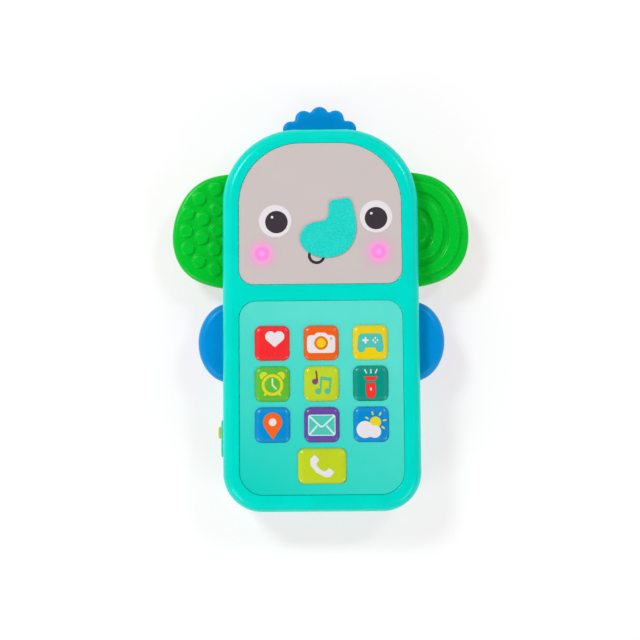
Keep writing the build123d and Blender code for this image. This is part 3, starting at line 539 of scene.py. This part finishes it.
# ---- keys ---------------------------------------------------------------------------------------------

KEY_CORNER = 2.6
KEY_EDGE = 2.8
KEY_DROP = 0.46
KEY_CROWN = 0.2
# how far a cap's top is below its CAD solid's, which leaves room for the print on it
KEY_SINK = 0.12
# how much closer than its CAD solid a cap comes to the panel round it
KEY_SPREAD = 0.07
# the rim that holds a key under the panel
KEY_FLANGE = 0.75
KEY_FLANGE_THICKNESS = 1.1
# how many steps a cap's quarter turn, rounded edge and flat middle each have
CORNER_STEPS = 12
EDGE_STEPS = 10
MIDDLE_STEPS = 8
KEY_COLOURS = {
    "key_heart": srgb(250, 46, 50),
    "key_camera": srgb(247, 99, 22),
    "key_game": srgb(240, 212, 18),
    "key_clock": srgb(98, 192, 56),
    "key_music": srgb(196, 216, 40),
    "key_torch": srgb(0, 152, 133),
    "key_map": srgb(0, 143, 214),
    "key_mail": srgb(110, 74, 166),
    "key_weather": srgb(0, 143, 214),
    "key_call": srgb(196, 216, 36),
}


class Cap:
    """A pillow-topped key cap that takes its place and size from its CAD node."""

    def __init__(self, node):
        self.node = node
        low, high = (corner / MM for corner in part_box(node))
        self.x, self.y = (low.x + high.x) / 2, (low.y + high.y) / 2
        self.flange_x, self.flange_y = (high.x - low.x) / 2, (high.y - low.y) / 2
        self.half_x = self.flange_x - KEY_FLANGE + KEY_SPREAD
        self.half_y = self.flange_y - KEY_FLANGE + KEY_SPREAD
        self.low, self.top = low.z, high.z - KEY_SINK

    def height(self, x, y):
        """The cap's upper surface at a place in the toy's frame, in millimetres."""
        across, along = x - self.x, y - self.y
        inset = np.clip(-tile(across, along, 0, 0, self.half_x, self.half_y, KEY_CORNER), 0, KEY_EDGE)
        drop = KEY_EDGE - np.sqrt(np.maximum(KEY_EDGE**2 - (KEY_EDGE - inset) ** 2, 0))
        crown = KEY_CROWN * ((across / self.half_x) ** 2 + (along / self.half_y) ** 2) / 2
        return self.top - crown - drop * KEY_DROP

    def ring(self, inset, height=None, grow=0.0):
        """A rounded rectangle of points, inset from the cap's outline."""
        half_x, half_y = self.half_x - inset + grow, self.half_y - inset + grow
        corner = max(KEY_CORNER - inset * 0.55, 0.35 * min(half_x, half_y))
        corner = min(corner, half_x, half_y)
        points = []
        for quarter, (sign_x, sign_y) in enumerate(((1, 1), (-1, 1), (-1, -1), (1, -1))):
            centre_x, centre_y = sign_x * (half_x - corner), sign_y * (half_y - corner)
            for step in range(CORNER_STEPS + 1):
                turn = math.radians(90 * quarter + 90 * step / CORNER_STEPS)
                points.append((centre_x + corner * math.cos(turn), centre_y + corner * math.sin(turn)))
        plane = np.array(points) + (self.x, self.y)
        level = self.height(plane[:, 0], plane[:, 1]) if height is None else np.full(len(plane), height)
        return np.column_stack([plane, level]) * MM

    def build(self):
        flange_top = self.low + KEY_FLANGE_THICKNESS
        side = self.top - KEY_EDGE * KEY_DROP - KEY_CROWN
        grow = KEY_FLANGE - KEY_SPREAD
        rings = [self.ring(0, self.low, grow), self.ring(0, flange_top, grow), self.ring(0, flange_top)]
        rings += [self.ring(0, flange_top + 0.4), self.ring(0, side - 0.3)]
        for step in range(EDGE_STEPS + 1):
            turn = math.radians(90 * step / EDGE_STEPS)
            rings.append(self.ring(KEY_EDGE * (1 - math.cos(turn)) + 0.001 * step))
        inner = min(self.half_x, self.half_y)
        for step in range(1, MIDDLE_STEPS + 1):
            rings.append(self.ring(KEY_EDGE + (inner - KEY_EDGE - 0.2) * step / MIDDLE_STEPS))
        colour = KEY_COLOURS[self.node]
        finish = moulded(
            f"{self.node}_moulded",
            colour,
            0.24,
            grain_depth=0.001 * MM,
            Specular_IOR_Level=0.32,
        )
        cap = stacked(self.node.replace("key", "cap"), rings, finish)
        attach(cap, self.node)
        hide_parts(self.node)
        return cap


def heart(x, y):
    lobes = [taper(x, y, (1.1 + side * 1.7, 2.6), 2.05, (1.1, -1.05), 0.45) for side in (-1, 1)]
    return union(*lobes)


def camera_body(x, y):
    hump = polygon(x, y, [(-2.7, 2.3), (2.7, 2.3), (1.4, 3.4), (-1.4, 3.4)], 0.55)
    return union(tile(x, y, 0, -0.5, 5.5, 3.5, 1.5), hump)


def game_pad(x, y):
    grips = [taper(x, y, (side * 3.1, 1.85), 1.65, (side * 3.6, -2.35), 1.55) for side in (-1, 1)]
    return union(*grips, tile(x, y, 0, 0.72, 3.6, 2.78, 0.5))


def game_marks(x, y):
    """A cross on the left and four dots on the right."""
    across = bar(x, y, (-2.85, 0.8), (-0.95, 0.8), 0.36)
    along = bar(x, y, (-1.9, -0.15), (-1.9, 1.75), 0.36)
    places = ((0.85, 0), (-0.85, 0), (0, 0.85), (0, -0.85))
    dots = [disc(x, y, 1.95 + right, 0.8 + up, 0.38) for right, up in places]
    return union(across, along, *dots)


def alarm_clock(x, y):
    middle = (0.1, -0.4)
    ring = minus(disc(x, y, *middle, 4.2), disc(x, y, *middle, 3.05))
    parts = [ring]
    for side in (-1, 1):
        bell = minus(disc(x, y, middle[0] + side * 3.35, 3.15, 1.6), disc(x, y, *middle, 4.6))
        foot = bar(x, y, (middle[0] + side * 2.4, -3.5), (middle[0] + side * 2.9, -4.15), 0.5)
        parts += [bell, foot]
    return union(*parts)


def clock_hands(x, y):
    return union(bar(x, y, (0.1, -0.4), (0.1, 2.0), 0.32), bar(x, y, (0.1, -0.4), (1.5, -1.85), 0.32))


def note_head(x, y):
    return disc(x, y, -2.5, 0.8, 1.18)


def note_stem(x, y):
    return bar(x, y, (-1.6, 1.2), (-2.05, 4.75), 0.3)


def double_note(x, y):
    heads = [disc(x, y, cx, -3.0, 1.12) for cx in (-1.35, 2.3)]
    stems = [bar(x, y, (-0.5, -2.9), (-0.05, 2.2), 0.33), bar(x, y, (3.15, -2.9), (3.6, 1.8), 0.33)]
    beam = polygon(x, y, [(-0.05, 1.75), (3.55, 1.3), (3.65, 2.0), (0.05, 2.5)], 0.25)
    return union(*heads, *stems, beam)


def torch(x, y):
    head = polygon(x, y, [(-2.4, 2.4), (2.4, 2.4), (1.6, 1.2), (-1.6, 1.2)], 0.2)
    return union(head, tile(x, y, 0, -2.85, 1.9, 3.03, 1.85), tile(x, y, 0, -0.8, 1.9, 0.95, 0.25))


def torch_rays(x, y):
    rays = [bar(x, y, (0.1 + side * 1.75, 4.0), (0.1 + side * 2.4, 5.3), 0.24) for side in (-1, 0, 1)]
    return union(*rays, tile(x, y, 0.05, -2.3, 0.33, 0.55, 0.15))


def map_drop(x, y):
    return taper(x, y, (0.1, 1.1), 3.7, (0.1, -4.85), 0.45)


def envelope(x, y):
    return tile(x, y, 0, -0.2, 5.3, 4.1, 0.9)


def envelope_lines(x, y):
    flap = [bar(x, y, (side * 4.95, 3.45), (side * 0.75, -0.45), 0.36) for side in (-1, 1)]
    fold = minus(disc(x, y, 0, 0.35, 1.45), disc(x, y, 0, 0.35, 0.72))
    fold = np.maximum(fold, y + 0.15)
    lower = [bar(x, y, (side * 4.95, -3.85), (side * 1.95, -0.6), 0.36) for side in (-1, 1)]
    border = minus(envelope(x, y), envelope(x, y) + 0.38)
    return np.maximum(union(*flap, fold, *lower, border), envelope(x, y))


def cloud(x, y):
    filler = tile(x, y, -0.4, -3.7, 1.2, 1.2, 1.0)
    return union(disc(x, y, -2.4, -2.0, 3.3), disc(x, y, 1.35, -2.8, 2.45), filler)


SUN_MIDDLE = (1.65, 0.85)
SUN_RAYS = (154, 108, 60, 11, -36)
SUN_RAY_START = 3.2
SUN_RAY_END = 4.1


def sun(x, y):
    middle_x, middle_y = SUN_MIDDLE
    rays = []
    for turn in SUN_RAYS:
        across, along = math.cos(math.radians(turn)), math.sin(math.radians(turn))
        start = (middle_x + SUN_RAY_START * across, middle_y + SUN_RAY_START * along)
        end = (middle_x + SUN_RAY_END * across, middle_y + SUN_RAY_END * along)
        rays.append(bar(x, y, start, end, 0.3))
    return union(disc(x, y, middle_x, middle_y, 2.15), *rays)


HANDSET = [
    (-2.9, 4.2), (-4.4, 2.6), (-4.3, 0.4), (-2.2, -2.2), (1.4, -4.1), (3.0, -4.0), (4.5, -2.4),
    (2.7, -1.0), (1.7, -2.0), (0.5, -2.2), (-1.0, -1.3), (-2.4, 0.3), (-2.3, 1.2), (-1.4, 2.4),
]


def handset(x, y):
    return polygon(x, y, HANDSET, 0.22)


TEAL_INK = srgb(80, 200, 186)
# each key's ink layers, lowest first: name, shape, colour
SYMBOLS = {
    "key_heart": [("heart", heart, INK_WHITE)],
    "key_camera": [
        ("camera", camera_body, INK_WHITE),
        ("lens_ring", lambda x, y: disc(x, y, 0, -0.1, 2.67), srgb(232, 122, 28)),
        ("lens", lambda x, y: disc(x, y, 0, -0.1, 1.8), srgb(250, 206, 26)),
        ("flash", lambda x, y: disc(x, y, 3.9, 1.6, 0.45), srgb(200, 190, 60)),
    ],
    "key_game": [("pad", game_pad, TEAL_INK), ("pad_marks", game_marks, INK_WHITE)],
    "key_clock": [("clock", alarm_clock, srgb(224, 218, 44)), ("hands", clock_hands, srgb(226, 234, 200))],
    "key_music": [
        ("note_head", note_head, srgb(128, 74, 150)),
        ("note_stem", note_stem, srgb(128, 62, 60)),
        ("notes", double_note, srgb(84, 196, 150)),
    ],
    "key_torch": [("torch", torch, srgb(248, 54, 48)), ("rays", torch_rays, srgb(232, 224, 224))],
    "key_map": [
        ("pin", map_drop, srgb(252, 103, 30)),
        ("pin_hole", lambda x, y: disc(x, y, 0.1, 1.1, 1.5), INK_WHITE),
    ],
    "key_mail": [("envelope", envelope, TEAL_INK), ("folds", envelope_lines, srgb(200, 240, 232))],
    "key_weather": [("sun", sun, srgb(238, 214, 30)), ("cloud", cloud, INK_WHITE)],
    "key_call": [("handset", handset, INK_WHITE)],
}


def shifted(field, centre_x, centre_y):
    return lambda x, y: field(x - centre_x, y - centre_y)


def build_keys():
    for node, layers in SYMBOLS.items():
        cap = Cap(node)
        cap.build()
        reach = (cap.x - cap.half_x, cap.y - cap.half_y, cap.x + cap.half_x, cap.y + cap.half_y)
        for layer, (name, field, colour) in enumerate(layers):
            printed(
                f"print_{name}",
                shifted(field, cap.x, cap.y),
                reach,
                cap.height,
                ink(f"ink_{name}", colour),
                node,
                layer,
            )


# ---- face ---------------------------------------------------------------------------------------------

LEFT_EYE, RIGHT_EYE = (-17.75, 39.28), (22.07, 40.78)
LEFT_PUPIL, RIGHT_PUPIL = (-17.25, 38.87), (22.06, 40.07)
LEFT_GLINT, RIGHT_GLINT = (-18.96, 40.83), (20.21, 42.03)
EYE_RADIUS, PUPIL_RADIUS, GLINT_RADIUS = 6.4, 4.45, 0.52
MOUTH = (-1.48, 25.49)
MOUTH_RADIUS = 2.9
MOUTH_HALF_LINE = 0.56
# how far above the mouth's middle its ends are, hidden by the trunk
MOUTH_ENDS = 1.2


def both(left, right, radius):
    return lambda x, y: union(disc(x, y, *left, radius), disc(x, y, *right, radius))


def smile(x, y):
    """The lower part of a ring; its ends run up under the trunk."""
    ring = np.abs(disc(x, y, *MOUTH, MOUTH_RADIUS)) - MOUTH_HALF_LINE
    return np.maximum(ring, y - MOUTH[1] - MOUTH_ENDS)


def panel_surface(x, y):
    return np.full(x.shape, PANEL_TOP / MM)


def build_face():
    case_y = ORIGIN_Y / MM
    reach = (-30.0, 20.0 + case_y, 30.0, 50.0 + case_y)
    layers = [
        ("eye_whites", both(LEFT_EYE, RIGHT_EYE, EYE_RADIUS), INK_WHITE, 0),
        ("pupils", both(LEFT_PUPIL, RIGHT_PUPIL, PUPIL_RADIUS), srgb(62, 55, 61), 1),
        ("glints", both(LEFT_GLINT, RIGHT_GLINT, GLINT_RADIUS), srgb(235, 232, 235), 2),
        ("smile", smile, srgb(58, 52, 56), 0),
    ]
    for name, field, colour, layer in layers:
        printed(
            f"print_{name}",
            shifted(field, 0, case_y),
            reach,
            panel_surface,
            ink(f"ink_{name}", colour),
            "casing",
            layer,
        )


# ---- soft parts ---------------------------------------------------------------------------------------


SOFT_NODES = ("left_ear", "right_ear", "hair_tuft")
SOFT_VOXEL = 0.2 * MM
SOFT_PASSES = 12


def softened(node, voxel, passes):
    """A finer, rounder copy of a CAD solid: remeshed and relaxed so that its creases turn to fillets."""
    made = placed(node + "_soft", NODES[node].data.copy())
    remesh = made.modifiers.new("remesh", "REMESH")
    remesh.mode = "VOXEL"
    remesh.voxel_size = voxel
    relax = made.modifiers.new("relax", "SMOOTH")
    relax.factor = 0.5
    relax.iterations = passes
    graph = bpy.context.evaluated_depsgraph_get()
    mesh = bpy.data.meshes.new_from_object(made.evaluated_get(graph))
    made.modifiers.clear()
    made.data = mesh
    mesh.materials.clear()
    mesh.materials.append(FINISH[SLOT_OF_NODE[node]])
    mesh.shade_smooth()
    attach(made, "casing")
    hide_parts(node)
    return made


def build_soft_parts():
    voxel, passes = ((SOFT_VOXEL, SOFT_PASSES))
    for node in SOFT_NODES:
        softened(node, voxel, passes)


# ---- studio -------------------------------------------------------------------------------------------

CAMERA_DISTANCE = 0.5
CAMERA_TILT_DOWN = 4.77
CAMERA_TILT_LEFT = -0.5
CAMERA_ROLL = 0.48
CAMERA_AIM = Vector((-0.37 * MM, ORIGIN_Y - 0.08 * MM, 24 * MM))
SENSOR = 36.0
FRAME_SPAN = 0.25065


def build_camera():
    data = bpy.data.cameras.new("camera")
    camera = placed("camera", data)
    bpy.context.scene.camera = camera
    data.sensor_width = SENSOR
    data.lens = SENSOR * CAMERA_DISTANCE / FRAME_SPAN
    down, left = math.radians(CAMERA_TILT_DOWN), math.radians(CAMERA_TILT_LEFT)
    back = Vector((-math.sin(left), -math.sin(down), math.cos(down) * math.cos(left))).normalized()
    roll = math.radians(CAMERA_ROLL)
    up = Vector((math.sin(roll), math.cos(roll), 0))
    right = up.cross(back).normalized()
    over = back.cross(right)
    spot = CAMERA_AIM + back * CAMERA_DISTANCE
    camera.matrix_world = Matrix(
        (
            (right.x, over.x, back.x, spot.x),
            (right.y, over.y, back.y, spot.y),
            (right.z, over.z, back.z, spot.z),
            (0, 0, 0, 1),
        )
    )
    data.clip_start, data.clip_end = 0.01, 10


LAMP_AIM = (0, 0, 0.01)
# each lamp's name, place, side and power
LAMPS = [
    ("key_upper_left", (-0.68, 0.65, 0.97), 0.3, 8.5),
    ("fill_upper_right", (0.68, 0.63, 0.98), 0.2, 3.5),
    ("fill_lower_left", (-0.78, -0.71, 0.56), 0.5, 4.5),
    ("fill_lower_right", (0.77, -0.72, 0.57), 0.5, 4),
]
# the light from all round, which falls off towards straight overhead
SKY_LOW, SKY_HIGH = 0.5, 0.02
SKY_FALL_START, SKY_FALL_END = 0.8, 0.95


def soft_box(name, place, side, power):
    data = bpy.data.lights.new(name, "AREA")
    data.shape = "RECTANGLE"
    data.size, data.size_y = side, side
    data.energy = power
    lamp = placed(name, data)
    lamp.location = place
    lamp.rotation_mode = "QUATERNION"
    lamp.rotation_quaternion = (Vector(place) - Vector(LAMP_AIM)).to_track_quat("Z", "Y")


def build_studio():
    build_camera()
    for name, place, side, power in LAMPS:
        soft_box(name, place, side, power)
    world = bpy.data.worlds.new("studio")
    bpy.context.scene.world = world
    world.use_nodes = True
    nodes, links = world.node_tree.nodes, world.node_tree.links
    direction = nodes.new("ShaderNodeTexCoord")
    split = nodes.new("ShaderNodeSeparateXYZ")
    links.new(direction.outputs["Generated"], split.inputs[0])
    ramp = nodes.new("ShaderNodeMapRange")
    ramp.inputs["From Min"].default_value = SKY_FALL_START
    ramp.inputs["From Max"].default_value = SKY_FALL_END
    ramp.inputs["To Min"].default_value = SKY_LOW
    ramp.inputs["To Max"].default_value = SKY_HIGH
    links.new(split.outputs["Z"], ramp.inputs["Value"])
    # seen directly, the backdrop is plain white, as the floor is
    plain = nodes.new("ShaderNodeMath")
    plain.operation = "MAXIMUM"
    links.new(nodes.new("ShaderNodeLightPath").outputs["Is Camera Ray"], plain.inputs[0])
    links.new(ramp.outputs["Result"], plain.inputs[1])
    background = nodes["Background"]
    background.inputs["Color"].default_value = (1, 1, 1, 1)
    links.new(plain.outputs[0], background.inputs["Strength"])
    view = bpy.context.scene.view_settings
    view.view_transform = "Standard"
    view.look = "None"


# keeps the floor and the toy's flat back from lying in one plane
FLOOR_GAP = 0.1 * MM
FLOOR_HALF = 1.6
# near the toy the floor's own light and its shade add up to white, and its shadows come out grey
FLOOR_SHADE = ([0.37, 0.455, 0.43], [0.378, 0.463, 0.438])
FLOOR_LIGHT = [0.6, 0.502, 0.53]
FAR_LIGHT = [1.0, 1.0, 1.0]
FAR_START, FAR_END = 0.2, 0.5


def build_floor():
    """A wide pale floor that is only seen from above."""
    graph = Graph("floor_paper")
    grain = graph.noise(2 * MM, detail=3)
    away = graph.add("VectorMath", operation="LENGTH")
    graph.links.new(graph.place, away.inputs[0])
    far = graph.spread(away.outputs["Value"], 0, 1, FAR_START, FAR_END)
    graph.to_shader(
        Base_Color=graph.blend(graph.spread(grain, 0, 1), *FLOOR_SHADE),
        Roughness=0.9,
        Specular_IOR_Level=0.1,
        Emission_Color=graph.blend(far, FLOOR_LIGHT, FAR_LIGHT),
        Emission_Strength=1.0,
        Normal=graph.bump(grain, 0.005 * MM),
    )
    back = graph.add("NewGeometry").outputs["Backfacing"]
    clear = graph.nodes.new("ShaderNodeBsdfTransparent")
    mix = graph.nodes.new("ShaderNodeMixShader")
    graph.links.new(back, mix.inputs[0])
    graph.links.new(graph.shader.outputs[0], mix.inputs[1])
    graph.links.new(clear.outputs[0], mix.inputs[2])
    graph.links.new(mix.outputs[0], graph.nodes["Material Output"].inputs["Surface"])
    turns = ((-1, -1), (1, -1), (1, 1), (-1, 1))
    corners = [(x * FLOOR_HALF, y * FLOOR_HALF, -FLOOR_GAP) for x, y in turns]
    floor = mesh_object("floor", corners, [(0, 1, 2, 3)], graph.material)


build_keys()
build_face()
build_soft_parts()
build_studio()
build_floor()
